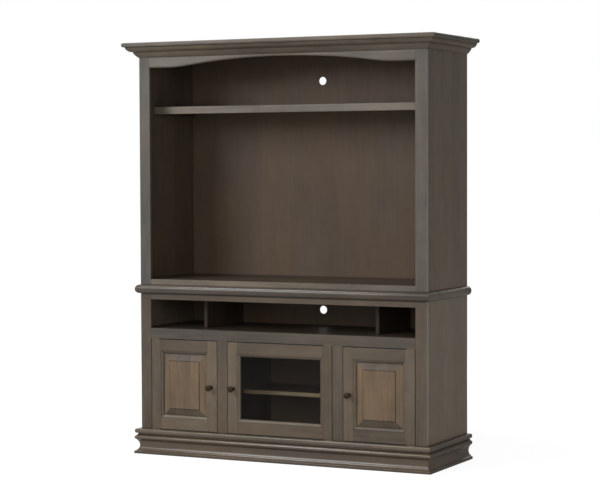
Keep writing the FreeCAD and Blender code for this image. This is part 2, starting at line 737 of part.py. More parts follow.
nosing_edges = edges_where(nosing_pad, on_nosing)
add_fillet(nosing_body, nosing_pad, nosing_edges, rounding("nosing_round", "nosing_thickness"))
keep(nosing_body, "hutch_shelf_nosing")
shelf_cleats = (f"{shelf_bottom} - cleat_width", shelf_bottom)
group("hutch_shelf_cleats", [
    box(("-inner_x", "-(inner_x - cleat_width)"), (shelf_start, "back_panel_y"), shelf_cleats),
    box(("inner_x - cleat_width", "inner_x"), (shelf_start, "back_panel_y"), shelf_cleats),
])
stile_pair("hutch_stiles", "opening_x", "half_width", hutch_levels)
keep(box(frame_inside, frame_depth, ("deck_z", "hutch_floor_z")), "hutch_bottom_rail")

arch_body = new_body("arched_rail")
arch_outline = add_sketch(arch_body, "XZ_Plane", "frame_back_y")
arch_crest_z = "arch_z + arch_rise"
arch_meet_z = f"{arch_crest_z} - arch_meet_drop"
draw_outline(arch_outline, [
    (("-opening_x", "arch_z"),),
    (("-arch_end_x", "arch_z"),),
    (("-arch_blend_x", "arch_z + arch_blend_rise"), ("-arch_meet_x", arch_meet_z)),
    (("0", arch_crest_z), ("arch_meet_x", arch_meet_z)),
    (("arch_blend_x", "arch_z + arch_blend_rise"), ("arch_end_x", "arch_z")),
    (("opening_x", "arch_z"),),
    (("opening_x", "cap_bottom_z"),),
    (("-opening_x", "cap_bottom_z"),),
])
arch_pad = add_pad(arch_body, arch_outline, "frame_thickness")
arch_front = value("front_y")
arch_top = value(arch_crest_z)
arch_end = value("opening_x")


def on_arch(middle):
    """Whether a point is on the arched rail's lower front edge."""
    low_enough = middle.z < arch_top + PLACE_TOLERANCE
    return low_enough and near(middle.y, arch_front) and not near(abs(middle.x), arch_end)


arch_edges = edges_where(arch_pad, on_arch)
add_fillet(arch_body, arch_pad, arch_edges, rounding("arch_edge_round", "frame_thickness"))
keep(arch_body, "arched_rail")
nosed_board("cap_board", "cap_bottom_z", "cap_board_thickness", "crown_reach", "cap_board_nose")

screws = []
for x_place, y_place in screw_places:
    head_start = (x_place, y_place, "hutch_floor_z - joint_screw_head_height")
    shank = cylinder(
        "joint_screw_width / 2", "hutch_floor_z - joint_screw_head_height - deck_z + joint_screw_bite",
        (x_place, y_place, "deck_z - joint_screw_bite"), (0, 0, 1),
    )
    head = cylinder("joint_screw_head / 2", "joint_screw_head_height", head_start, (0, 0, 1))
    screws.append(fuse([shank, head]))
group("hutch_screws", screws)


# Doors. Each door is drawn in its own frame: x from its left edge, y back from its front, z up from its
# bottom edge. The hinge is on the left (-1) or on the right (1).
DOORS = (
    ("left_door", -1, "side_door_width", "-opening_x + door_gap", True),
    ("middle_door", 1, "middle_door_width", "-middle_opening_x + door_gap", False),
    ("right_door", 1, "side_door_width", "middle_opening_x + middle_stile_width + door_gap", True),
)


def place_in_cabinet(piece, left):
    """Move a piece drawn in its door's frame to where that door hangs."""
    for axis, formula in zip("xyz", (left, "front_y", "door_bottom_z")):
        bind(piece, f"Placement.Base.{axis}", formula)
    return piece


def from_edge(side, width, distance):
    """Place at a distance from the left edge (-1) or the right edge (1) of a door."""
    return distance if side < 0 else f"{width} - ({distance})"


def frame_section(width, grooved):
    """Section of a door stile or rail, as distances from its outer edge and depths from its front."""
    face = f"{width} - sticking_width"
    drop = "(sticking_depth - sticking_quirk)"
    inner = f"{width} - groove_depth"
    steps = [
        (("0", "0"),),
        ((face, "0"),),
        ((face, "sticking_quirk"),),
        (
            (
                f"{face} + {STICKING_SHARE[0]} * sticking_width",
                f"sticking_quirk + {STICKING_SHARE[1]} * {drop}",
            ),
            (width, "sticking_depth"),
        ),
        ((inner, "sticking_depth"),),
    ]
    if grooved:
        steps += [((inner, "groove_back"),), ((width, "groove_back"),), ((width, "door_thickness"),)]
    else:
        steps += [((inner, "door_thickness"),)]
    return steps + [(("0", "door_thickness"),)]


def door_stile(side, width, hinged, grooved):
    """One stile of a door, cut for the hinge leaves and pins or for the knob's screw."""
    body = new_body("stile")
    section = add_sketch(body, "XY_Plane")
    steps = frame_section("door_stile_width", grooved)
    draw_outline(section, [
        tuple((from_edge(side, width, distance), depth) for distance, depth in step) for step in steps
    ])
    add_pad(body, section, "door_height")
    if not hinged:
        hole = add_sketch(body, "XZ_Plane")
        knob_place = (from_edge(side, width, "knob_inset"), "knob_rise")
        draw_circle(hole, knob_place, "knob_screw_width / 2 + knob_screw_slack")
        add_pocket(body, hole)
        return body
    for level, upwards in (("0", True), ("door_height", False)):
        mortise = add_sketch(body, "XY_Plane", level)
        draw_leaf(mortise, side, width)
        add_pocket(body, mortise, "hinge_leaf_thickness").Reversed = upwards
        bore = add_sketch(body, "XY_Plane", level)
        draw_circle(bore, pin_place(side, width), "hinge_pin_width / 2 + hinge_bore_slack")
        add_pocket(body, bore, "hinge_pin_reach + hinge_leaf_thickness").Reversed = upwards
    return body


def pin_place(side, width):
    """Where a hinge pin stands, seen from above."""
    return from_edge(side, width, "hinge_setback"), "hinge_setback"


def leaf_ranges(side, width):
    """Where a hinge leaf lies, seen from above."""
    ends = (from_edge(side, width, "hinge_leaf_inset"), from_edge(side, width, "hinge_leaf_length"))
    return ends[::-side], ("hinge_leaf_inset", "hinge_leaf_inset + hinge_leaf_width")


def draw_leaf(sketch, side, width):
    """Outline of a hinge leaf, or of the mortise that it lies in."""
    across, depth = leaf_ranges(side, width)
    draw_rectangle(sketch, across, depth)


def door_rail(edge, width, grooved, stiles):
    """One rail of a door, coped over the stiles' moulded edges and tongued into their grooves."""
    body = new_body("rail")
    face = "(door_stile_width - sticking_width)"
    section = add_sketch(body, "YZ_Plane", face)
    steps = frame_section("door_rail_width", grooved)
    draw_outline(section, [tuple((depth, edge(distance)) for distance, depth in step) for step in steps])
    add_pad(body, section, f"{width} - 2 * {face}")
    for stile in stiles:
        body = cut(body, stile)
    return body


def raised_panel(label, width):
    """A panel with a sloping border round a raised field, and an edge that floats in the frame."""
    def ranges(stile_inset, rail_inset):
        across = (stile_inset, f"{width} - ({stile_inset})")
        return across, (rail_inset, f"door_height - ({rail_inset})")

    body = new_body(label)
    into = "groove_depth + panel_float"
    edge = add_sketch(body, "XZ_Plane", "groove_back - panel_slack")
    draw_rectangle(edge, *ranges(f"door_stile_width - {into}", f"door_rail_width - {into}"))
    add_pad(body, edge, "groove_width - 2 * panel_slack")
    foot = add_sketch(body, "XZ_Plane", "sticking_depth + panel_slack")
    draw_rectangle(foot, *ranges("door_stile_width", "door_rail_width"))
    field_level = "field_inset + field_step"
    crest = add_sketch(body, "XZ_Plane", field_level)
    field = ranges("door_stile_width + bevel_width", "door_rail_width + bevel_width")
    draw_rectangle(crest, *field)
    bevel = body.newObject("PartDesign::AdditiveLoft", "bevel")
    bevel.Profile = foot
    bevel.Sections = [crest]
    bevel.Ruled = True
    top = add_sketch(body, "XZ_Plane", field_level)
    draw_rectangle(top, *field)
    add_pad(body, top, "field_step")
    return keep(body, label)


def glazing(name, width):
    """The pane in its rebate, and the four stops behind it."""
    rebate_x = "door_stile_width - groove_depth"
    rebate_z = "door_rail_width - groove_depth"
    glass_back = "sticking_depth + glass_thickness"
    pane = group(f"{name}_glass", [box(
        (f"{rebate_x} + panel_float", f"{width} - ({rebate_x} + panel_float)"),
        ("sticking_depth", glass_back),
        (f"{rebate_z} + panel_float", f"door_height - ({rebate_z} + panel_float)"),
    )])
    depth = (glass_back, "door_thickness")
    across = (rebate_x, f"{width} - ({rebate_x})")
    upright = ("door_rail_width", "door_height - door_rail_width")
    stops = group("glass_stops", [
        box(across, depth, (rebate_z, "door_rail_width")),
        box(across, depth, ("door_height - door_rail_width", f"door_height - ({rebate_z})")),
        box((rebate_x, "door_stile_width"), depth, upright),
        box((f"{width} - door_stile_width", f"{width} - ({rebate_x})"), depth, upright),
    ])
    return pane, stops


def door_knob(label, x_place):
    """A turned knob, bored for its screw."""
    body = new_body(label)
    half = add_sketch(body, "XY_Plane")
    bore = "knob_screw_width / 2 + knob_screw_slack"
    bore_end = "-(knob_screw_bite + knob_screw_slack)"
    turned = shares_to_steps(
        KNOB_SHARES, lambda out: f"{out} * knob_width / 2", lambda away: f"-{away} * knob_reach"
    )
    dome = (None, ("0", "-knob_reach"))
    draw_outline(half, [((bore, "0"),)] + turned + [dome, (("0", bore_end),), ((bore, bore_end),)])
    spin = body.newObject("PartDesign::Revolution", "turned")
    spin.Profile = half
    spin.ReferenceAxis = (half, ["V_Axis"])
    for axis, formula in zip("xyz", (x_place, "front_y", "knob_z")):
        bind(body, f"Placement.Base.{axis}", formula)
    return keep(body, label)


def frame_leaf(side, width, left, at_top):
    """A hinge leaf on the face frame, with its pin."""
    across, depth = leaf_ranges(side, width)
    x_place, y_place = pin_place(side, width)
    if at_top:
        levels = ("door_height + door_gap - hinge_leaf_thickness", "door_height + door_gap")
        start = "door_height - hinge_pin_reach"
    else:
        levels = ("-door_gap", "hinge_leaf_thickness - door_gap")
        start = "-door_gap"
    pin = cylinder("hinge_pin_width / 2", "door_gap + hinge_pin_reach", (x_place, y_place, start), (0, 0, 1))
    return place_in_cabinet(fuse([box(across, depth, levels), pin]), left)


def door_leaf(side, width, level):
    """A hinge leaf let into the door's top or bottom edge, bored for the pin."""
    body = new_body("leaf")
    outline = add_sketch(body, "XY_Plane", level)
    draw_leaf(outline, side, width)
    draw_circle(outline, pin_place(side, width), "hinge_pin_width / 2 + hinge_pin_slack")
    add_pad(body, outline, "hinge_leaf_thickness")
    return body


def knob_screw(x_place):
    """The screw from the back of a door into its knob."""
    shank = cylinder(
        "knob_screw_width / 2", "door_thickness + knob_screw_bite",
        (x_place, "-knob_screw_bite", "knob_rise"), (0, 1, 0),
    )
    head = cylinder(
        "knob_screw_head / 2", "knob_screw_head_height", (x_place, "door_thickness", "knob_rise"), (0, 1, 0)
    )
    return fuse([shank, head])


def catch_range(side, width, margin):
    """Where a catch or its strike plate lies along a door; side is the latch side."""
    near_end = from_edge(side, width, f"catch_inset + {margin}")
    far_end = from_edge(side, width, f"catch_inset + catch_length - {margin}")
    return (near_end, far_end)[::-side]


frame_leaves = []
catches = []
for name, hinge_side, width, left, is_panel in DOORS:
    latch_side = -hinge_side
    stiles = [
        door_stile(hinge_side, width, True, is_panel),
        door_stile(latch_side, width, False, is_panel),
    ]
    rails = [
        door_rail(lambda distance: f"door_height - ({distance})", width, is_panel, stiles),
        door_rail(lambda distance: distance, width, is_panel, stiles),
    ]
    place_in_cabinet(group(f"{name}_stiles", stiles), left)
    place_in_cabinet(group(f"{name}_rails", rails), left)
    if is_panel:
        place_in_cabinet(raised_panel(f"{name}_panel", width), left)
    else:
        for piece in glazing(name, width):
            place_in_cabinet(piece, left)
    knob_x = from_edge(latch_side, width, "knob_inset")
    door_knob(f"{name}_knob", f"{left} + {knob_x}")
    leaves = [
        door_leaf(hinge_side, width, "0"),
        door_leaf(hinge_side, width, "door_height - hinge_leaf_thickness"),
    ]
    place_in_cabinet(group(f"{name}_hinge_leaves", leaves), left)
    strike = box(
        catch_range(latch_side, width, "strike_margin"),
        ("door_thickness", "door_thickness + strike_thickness"),
        ("strike_margin", "catch_height - door_gap - strike_margin"),
    )
    place_in_cabinet(group(f"{name}_fittings", [knob_screw(knob_x), strike]), left)
    frame_leaves += [frame_leaf(hinge_side, width, left, at_top) for at_top in (False, True)]
    catch_front = "door_thickness + strike_thickness + strike_gap"
    low, high = catch_range(latch_side, width, "0")
    catches.append(box(
        (f"{left} + {low}", f"{left} + {high}"),
        (f"front_y + {catch_front}", f"front_y + {catch_front} + catch_depth"),
        ("bottom_rail_width", "bottom_rail_width + catch_height"),
    ))
group("hinge_frame_leaves", frame_leaves)
group("door_catches", catches)

doc.recompute()
for thing in doc.Objects:
    if "Invalid" in thing.State or "Error" in thing.State:
        raise RuntimeError(f"{thing.Name} ({thing.Label}) failed: {thing.State}")
    if thing.isDerivedFrom("PartDesign::Pocket") and thing.Shape.Volume >= thing.BaseFeature.Shape.Volume:
        raise RuntimeError(f"{thing.Name} cuts nothing")

os.makedirs("parts", exist_ok=True)
for piece in subparts:
    shape = piece.Shape
    if shape.isNull() or not shape.isValid() or not shape.Solids:
        raise RuntimeError(f"{piece.Label} has no valid solid")
    shape.exportStep(f"parts/{piece.Label}.step")
print(len(subparts), "sub-parts written")
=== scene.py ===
import json
import math
from collections import namedtuple

import bmesh
import bpy
from mathutils import Matrix, Vector


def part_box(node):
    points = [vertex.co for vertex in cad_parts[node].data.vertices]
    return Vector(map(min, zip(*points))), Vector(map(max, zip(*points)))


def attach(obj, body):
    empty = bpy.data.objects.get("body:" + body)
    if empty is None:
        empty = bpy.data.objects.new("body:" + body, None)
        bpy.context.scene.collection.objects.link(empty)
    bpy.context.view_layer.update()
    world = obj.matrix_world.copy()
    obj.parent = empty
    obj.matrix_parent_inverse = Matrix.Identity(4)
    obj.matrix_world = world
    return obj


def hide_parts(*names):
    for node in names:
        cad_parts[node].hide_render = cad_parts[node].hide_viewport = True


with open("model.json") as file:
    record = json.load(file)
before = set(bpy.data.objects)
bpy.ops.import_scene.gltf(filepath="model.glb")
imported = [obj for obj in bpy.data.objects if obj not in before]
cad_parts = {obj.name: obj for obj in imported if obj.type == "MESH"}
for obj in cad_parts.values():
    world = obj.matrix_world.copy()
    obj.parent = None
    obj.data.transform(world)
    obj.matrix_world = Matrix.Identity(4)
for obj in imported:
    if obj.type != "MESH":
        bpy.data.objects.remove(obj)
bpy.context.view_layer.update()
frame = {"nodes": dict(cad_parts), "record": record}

WHITE = (1.0, 1.0, 1.0, 1.0)
# Axes, as places in a vector
X, Y, Z = range(3)


def srgb(red, green, blue):
    """A linear colour from the 0 to 255 values that a picture shows."""
    linear = []
    for level in (red, green, blue):
        share = level / 255
        linear.append(share / 12.92 if share <= 0.04045 else ((share + 0.055) / 1.055) ** 2.4)
    return (*linear, 1.0)


def toned(colour, share, tint=(1.0, 1.0, 1.0)):
    """The colour made lighter or darker by a share, and tinted, with no channel over 1."""
    return tuple(min(1.0, level * share * part) for level, part in zip(colour, tint)) + (1.0,)


class Graph:
    """Short ways to add shader nodes to a material or a world."""

    def __init__(self, owner, output_kind="ShaderNodeOutputMaterial"):
        owner.use_nodes = True
        self.owner = owner
        self.tree = owner.node_tree
        self.tree.nodes.clear()
        self.output = self.tree.nodes.new(output_kind)

    def add(self, kind, settings=None, **inputs):
        """A new node. An input's name is written with _ for a space."""
        node = self.tree.nodes.new(kind)
        for name, value in (settings or {}).items():
            setattr(node, name, value)
        for name, value in inputs.items():
            self.feed(node.inputs[name.replace("_", " ")], value)
        return node

    def feed(self, socket, value):
        """Links what comes from another node, and writes any other value into the socket."""
        if isinstance(value, bpy.types.NodeSocket):
            self.tree.links.new(value, socket)
        else:
            socket.default_value = value

    def feed_in_order(self, node, values):
        for socket, value in zip(node.inputs, values):
            self.feed(socket, value)
        return node

    def maths(self, operation, *values):
        node = self.add("ShaderNodeMath", {"operation": operation})
        return self.feed_in_order(node, values).outputs["Value"]

    def measure(self, operation, *vectors):
        """A number from one or two vectors, such as a length or a dot product."""
        node = self.add("ShaderNodeVectorMath", {"operation": operation})
        return self.feed_in_order(node, vectors).outputs["Value"]

    def noise(self, vector, layer):
        node = self.add("ShaderNodeTexNoise", Vector=vector, Scale=layer.scale, Detail=layer.detail)
        node.inputs["Roughness"].default_value = layer.roughness
        return node.outputs["Fac"]

    def mix(self, share, first, second, blend="MIX"):
        node = self.add("ShaderNodeMix", {"data_type": "RGBA", "blend_type": blend})
        self.feed(node.inputs["Factor"], share)
        colours = [socket for socket in node.inputs if socket.type == "RGBA"]
        self.feed(colours[0], first)
        self.feed(colours[1], second)
        return next(socket for socket in node.outputs if socket.type == "RGBA")

    def spread(self, value, low, high, new_low=0.0, new_high=1.0):
        """Stretches what lies between low and high to new_low and new_high, and holds it there."""
        node = self.add(
            "ShaderNodeMapRange", Value=value, From_Min=low, From_Max=high, To_Min=new_low, To_Max=new_high
        )
        return node.outputs["Result"]

    def principled(self, colour, roughness, normal, **inputs):
        names = {"Base_Color": colour, "Roughness": roughness, "Normal": normal}
        return self.add("ShaderNodeBsdfPrincipled", **names, **inputs)

    def combine(self, first, second, third):
        return self.add("ShaderNodeCombineXYZ", X=first, Y=second, Z=third).outputs["Vector"]

    def finish(self, shader):
        self.tree.links.new(shader, self.output.inputs["Surface"])
        return self.owner


# One layer of noise: features in a metre, detail and roughness, the levels that it is read between, how
# fast it changes along the grain against across it, and how far it moves the tone either way
Layer = namedtuple("Layer", "scale detail roughness low high stretch sway", defaults=(1.0, 0.0))

# Wood figure, from slow changes of tone down to single fibres
WANDER = Layer(2.2, 1.0, 0.5, 0.0, 1.0, stretch=0.6, sway=0.03)
BROAD = Layer(5.0, 2.0, 0.55, 0.3, 0.7, stretch=0.35, sway=0.30)
SWELL = Layer(6.5, 1.2, 0.45, -1.0, 1.0, stretch=0.10, sway=0.07)
STREAKS = Layer(75.0, 3.0, 0.6, 0.3, 0.7, stretch=0.035, sway=0.11)
FIBRES = Layer(620.0, 2.0, 0.65, 0.25, 0.75, stretch=0.012, sway=0.08)
BLOTCH = Layer(22.0, 3.0, 0.6, 0.3, 0.7, stretch=0.5, sway=0.16)
CLOUD = Layer(4.0, 2.0, 0.5, 0.35, 0.65, stretch=0.4)
PORES = Layer(900.0, 1.0, 0.5, 0.70, 0.80, stretch=0.05)
# Patches in which the arris tone shows: wear, painted highlight and painted shade
WEAR_AND_PAINTED_LIGHT = Layer(60.0, 2.0, 0.5, 0.35, 0.65)
RING_TURNS = 70.0
MIDDLE_TONE = 0.5
TONE_REACH = 0.34

# Axes across, through and along the grain, for boards whose grain runs along X, Y or Z
GRAIN_ORDER = {"X": ("Y", "Z", "X"), "Y": ("Z", "X", "Y"), "Z": ("X", "Y", "Z")}

# How far a seed, or a stave's chance, moves the figure, in metres, and how far off a stave's tone may be
SEED_ACROSS = 3.17
SEED_THROUGH = 1.73
STAVE_ALONG = 7.0
STAVE_ACROSS = 3.0
STAVE_SWAY = 0.20

# Tints over the stain, each linear
DARK_TINT = (1.0, 1.0, 1.02)
PALE_TINT = (1.02, 1.0, 0.96)
GREYER_CLOUD = (1.0, 1.0, 1.02, 1.0)
BROWNER_CLOUD = (1.08, 1.0, 0.91, 1.0)
# End grain tint: partly darker stain, partly painted shade and painted sheen
END_GRAIN_AND_SHADE_TINT = (0.56, 0.60, 0.64, 1.0)
# How far a face has turned to the grain's end when its end grain begins to show, and when it shows in full
END_GRAIN_BEGINS = 0.06
END_GRAIN_FULL = 0.24
PORE_TONE = 0.4
PORE_COVER = 0.35

# Painted shade in quirks, gaps and corners: how open a place is to light where that shade is full, and
# where there is none; the darkest tone
QUIRK_CLOSED = 0.15
QUIRK_OPEN = 0.90
QUIRK_TONE = 0.08
QUIRK_SAMPLES = 6
# How well a face agrees with its rounded form away from an arris, and on one
ARRIS_BEGINS = 0.995
ARRIS_FULL = 0.80
ARRIS_SAMPLES = 4
LEAST_WEAR_AND_PAINTED_LIGHT = 0.4

FIBRE_RELIEF = 0.7
STREAK_RELIEF = 0.5
WOOD_BUMP = 0.22
WOOD_BUMP_DEPTH = 0.0003
# Sum of the fibres' and the blotches' levels, and how much rougher or glossier it leaves the lacquer
LACQUER_LOW = 0.6
LACQUER_HIGH = 1.4
LACQUER_SWAY = 0.05


def layer_noise(g, layer, at):
    """A layer's noise at a place given across, through and along the grain."""
    across, through, along = at
    stretched = g.combine(across, through, g.maths("MULTIPLY", along, layer.stretch))
    return g.noise(stretched, layer)


def place_in_grain(g, place, grain, seed, stave_axis, stave_width):
    """The place across, through and along the grain, and a list with each stave's own tone, if any."""
    split = g.add("ShaderNodeSeparateXYZ", Vector=place)
    across, through, along = [split.outputs[axis] for axis in GRAIN_ORDER[grain]]
    tones = []
    if stave_axis:
        cells = g.add("ShaderNodeTexVoronoi", {"voronoi_dimensions": "1D"}, Scale=1 / stave_width)
        g.feed(cells.inputs["W"], split.outputs[stave_axis])
        chance = g.add("ShaderNodeSeparateColor", Color=cells.outputs["Color"])
        tones.append(g.spread(chance.outputs["Red"], 0.0, 1.0, -STAVE_SWAY, STAVE_SWAY))
        along = g.maths("ADD", along, g.maths("MULTIPLY", chance.outputs["Green"], STAVE_ALONG))
        across = g.maths("ADD", across, g.maths("MULTIPLY", chance.outputs["Blue"], STAVE_ACROSS))
    across = g.maths("ADD", across, seed * SEED_ACROSS)
    through = g.maths("ADD", through, seed * SEED_THROUGH)
    # A slow wander keeps the fibres from being ruler straight
    wander = layer_noise(g, WANDER, (across, through, along))
    across = g.maths("ADD", across, g.maths("MULTIPLY", wander, WANDER.sway))
    return (across, through, along), tones


def cloud_tint(g, at):
    """Stain takes unevenly on maple, in clouds that are browner or greyer."""
    return g.mix(g.spread(layer_noise(g, CLOUD, at), CLOUD.low, CLOUD.high), GREYER_CLOUD, BROWNER_CLOUD)


def end_grain_and_painted_shade(g, normal, grain):
    """End grain drinks more stain, which leaves it darker; the grey cast and part of the darkening are
    painted shade and painted sheen on the panels' top and bottom bevels.
    """
    facing_end = g.add("ShaderNodeSeparateXYZ", Vector=normal).outputs[grain]
    share = g.spread(g.maths("ABSOLUTE", facing_end), END_GRAIN_BEGINS, END_GRAIN_FULL)
    return g.mix(share, WHITE, END_GRAIN_AND_SHADE_TINT)


def painted_quirk_shade(g, reach):
    """Painted shade, darker the less open a place is to light, out to that reach."""
    openness = g.add("ShaderNodeAmbientOcclusion", {"samples": QUIRK_SAMPLES}, Distance=reach).outputs["AO"]
    shade = g.spread(openness, QUIRK_CLOSED, QUIRK_OPEN, QUIRK_TONE, 1.0)
    return g.combine(shade, shade, shade)


def arris_share(g, place, radius, cover):
    """How much of the arris tone shows, in patches, on every arris: a paler tone is partly wear and partly
    painted highlight, a darker one painted shade.
    """
    rounded = g.add("ShaderNodeBevel", {"samples": ARRIS_SAMPLES}, Radius=radius).outputs["Normal"]
    facing = g.add("ShaderNodeNewGeometry").outputs["Normal"]
    edge = g.spread(g.measure("DOT_PRODUCT", rounded, facing), ARRIS_BEGINS, ARRIS_FULL, 0.0, cover)
    wear_and_painted_light = g.spread(g.noise(place, WEAR_AND_PAINTED_LIGHT), WEAR_AND_PAINTED_LIGHT.low, WEAR_AND_PAINTED_LIGHT.high, LEAST_WEAR_AND_PAINTED_LIGHT, 1.0)
    return g.maths("MULTIPLY", edge, wear_and_painted_light)


def wood(name, grain, middle, seed, contrast=1.0, stave_axis=None, stave_width=0.075, roughness=0.42,
         edge_cover=0.5, edge_tone=1.9, edge_radius=0.0018, painted_shade_reach=0.010, specular=0.3):
    """Stained maple under satin lacquer. grain is the axis that the fibres follow, middle the stain's
    middle tone, and stave_axis the axis along which glued-up staves change, if the board has them.
    edge_tone is how light the arrises are against the middle tone: above 1 partly worn and partly a painted
    highlight, under 1 painted shade. The shade reach is how far out of a quirk or a gap the painted shade
    shows."""
    g = Graph(bpy.data.materials.new(name))
    space = g.add("ShaderNodeTexCoord")
    place = space.outputs["Object"]
    at, tones = place_in_grain(g, place, grain, seed, stave_axis, stave_width)
    broad = layer_noise(g, BROAD, at)
    rings = g.maths("SINE", g.maths("MULTIPLY", layer_noise(g, SWELL, at), RING_TURNS))
    streaks = layer_noise(g, STREAKS, at)
    fibres = layer_noise(g, FIBRES, at)
    blotch = layer_noise(g, BLOTCH, at)
    figure = ((broad, BROAD), (rings, SWELL), (streaks, STREAKS), (fibres, FIBRES), (blotch, BLOTCH))
    for value, layer in figure:
        tones.append(g.spread(value, layer.low, layer.high, -layer.sway, layer.sway))
    tone = MIDDLE_TONE
    for part in tones:
        tone = g.maths("ADD", part, tone)
    tone = g.maths("MINIMUM", g.maths("MAXIMUM", tone, 0.0), 1.0)
    reach = TONE_REACH * contrast
    colour = g.mix(tone, toned(middle, 1 - reach, DARK_TINT), toned(middle, 1 + reach, PALE_TINT))
    colour = g.mix(1.0, colour, cloud_tint(g, at), "MULTIPLY")
    # Short dark pores, as maple has few of
    pores = g.spread(layer_noise(g, PORES, at), PORES.low, PORES.high, 0.0, PORE_COVER)
    colour = g.mix(pores, colour, toned(middle, PORE_TONE))
    # End grain: partly darker stain, partly painted shade and sheen on the panels' bevels
    colour = g.mix(1.0, colour, end_grain_and_painted_shade(g, space.outputs["Normal"], grain), "MULTIPLY")
    # Painted shade in quirks, gaps and corners
    colour = g.mix(1.0, colour, painted_quirk_shade(g, painted_shade_reach), "MULTIPLY")
    # Arrises: paler ones partly worn and partly painted highlight, darker ones painted shade
    colour = g.mix(arris_share(g, place, edge_radius, edge_cover), colour, toned(middle, edge_tone))
    raised_fibres = g.maths("MULTIPLY", fibres, FIBRE_RELIEF)
    relief = g.maths("ADD", raised_fibres, g.maths("MULTIPLY", streaks, STREAK_RELIEF))
    bump = g.add("ShaderNodeBump", Strength=WOOD_BUMP, Distance=WOOD_BUMP_DEPTH, Height=relief)
    fibres_and_blotch = g.maths("ADD", fibres, blotch)
    roughest = roughness + LACQUER_SWAY
    glossiest = roughness - LACQUER_SWAY
    gloss = g.spread(fibres_and_blotch, LACQUER_LOW, LACQUER_HIGH, roughest, glossiest)
    shader = g.principled(colour, gloss, bump.outputs["Normal"], Specular_IOR_Level=specular)
    return g.finish(shader.outputs["BSDF"])


# Metal: the clouds of its tone and gloss, its grit, and how much of its rubbed tone shows
METAL_CLOUD = Layer(160.0, 3.0, 0.6, 0.35, 0.75)
METAL_GLOSS = Layer(160.0, 3.0, 0.6, 0.3, 0.7)
METAL_GRIT = Layer(1500.0, 2.0, 0.6, 0.0, 1.0)
METAL_SPECKLE = 0.2
METAL_BUMP = 0.15
METAL_GLOSSIER = 0.06
METAL_ROUGHER = 0.08
# A rubbed spot's tone: the metal's own, times the first and plus the second
RUBBED_GAIN = 2.4
RUBBED_LIFT = 0.01
GRIT_DEPTH = 0.0001

# Plastic: its haze and grit, and its tone and roughness where it is hazy
PLASTIC_HAZE = Layer(90.0, 2.0, 0.5, 0.3, 0.7)
PLASTIC_GRIT = Layer(2200.0, 2.0, 0.6, 0.0, 1.0)
PLASTIC_BUMP = 0.2
PLASTIC_SHADE = 0.8
PLASTIC_ROUGHNESS = (0.42, 0.55)

# Glass: its haze, read once for roughness and once for cover, from clear to dusty
PANE_HAZE = Layer(14.0, 3.0, 0.6, 0.35, 0.7)
PANE_COVER = Layer(14.0, 3.0, 0.6, 0.3, 0.7)
PANE_ROUGHNESS = (0.02, 0.06)
PANE_ALPHA = (0.05, 0.09)
PANE_CLEAR = (0.012, 0.012, 0.010, 1.0)
PANE_DUSTY = (0.030, 0.029, 0.026, 1.0)
GLASS_IOR = 1.45


def metal(name, tone, roughness):
    """A dark finished metal with fine speckle and rubbed spots."""
    g = Graph(bpy.data.materials.new(name))
    place = g.add("ShaderNodeTexCoord").outputs["Object"]
    cloud = g.noise(place, METAL_CLOUD)
    grit = g.noise(place, METAL_GRIT)
    rubbed = tuple(min(1.0, level * RUBBED_GAIN + RUBBED_LIFT) for level in tone[:3]) + (1.0,)
    colour = g.mix(g.spread(cloud, METAL_CLOUD.low, METAL_CLOUD.high, 0.0, METAL_SPECKLE), tone, rubbed)
    bump = g.add("ShaderNodeBump", Strength=METAL_BUMP, Distance=GRIT_DEPTH, Height=grit)
    glossiest = roughness - METAL_GLOSSIER
    roughest = roughness + METAL_ROUGHER
    gloss = g.spread(cloud, METAL_GLOSS.low, METAL_GLOSS.high, glossiest, roughest)
    shader = g.principled(colour, gloss, bump.outputs["Normal"], Metallic=1.0)
    return g.finish(shader.outputs["BSDF"])


def plastic(name, tone):
    """Moulded plastic with a fine spark-eroded grain."""
    g = Graph(bpy.data.materials.new(name))
    place = g.add("ShaderNodeTexCoord").outputs["Object"]
    grit = g.noise(place, PLASTIC_GRIT)
    haze = g.noise(place, PLASTIC_HAZE)
    colour = g.mix(haze, tone, toned(tone, PLASTIC_SHADE))
    bump = g.add("ShaderNodeBump", Strength=PLASTIC_BUMP, Distance=GRIT_DEPTH, Height=grit)
    gloss = g.spread(haze, PLASTIC_HAZE.low, PLASTIC_HAZE.high, *PLASTIC_ROUGHNESS)
    shader = g.principled(colour, gloss, bump.outputs["Normal"])
    return g.finish(shader.outputs["BSDF"])


def pane(name):
    """Thin glass that lets light and sight through, with a dark reflection and a little cleaning haze."""
    g = Graph(bpy.data.materials.new(name))
    place = g.add("ShaderNodeTexCoord").outputs["Object"]
    haze = g.noise(place, PANE_HAZE)
    gloss = g.spread(haze, PANE_HAZE.low, PANE_HAZE.high, *PANE_ROUGHNESS)
    body = g.mix(haze, PANE_CLEAR, PANE_DUSTY)
    cover = g.spread(haze, PANE_COVER.low, PANE_COVER.high, *PANE_ALPHA)
    shader = g.add("ShaderNodeBsdfPrincipled", Base_Color=body, Roughness=gloss, Alpha=cover, IOR=GLASS_IOR)
    return g.finish(shader.outputs["BSDF"])


# Stain tones, part by part
HUTCH_RAIL = srgb(118, 111, 103)
HUTCH_STILE = srgb(95, 90, 84)
HUTCH_SIDE = srgb(100, 90, 80)
BASE = srgb(99, 89, 78)
BASE_RAIL = srgb(89, 84, 78)
BASE_SIDE = srgb(113, 106, 96)
DOOR = srgb(107, 96, 83)
DOOR_DARK = srgb(100, 90, 79)
DOOR_PALE = srgb(120, 107, 91)
PANEL = srgb(125, 107, 88)
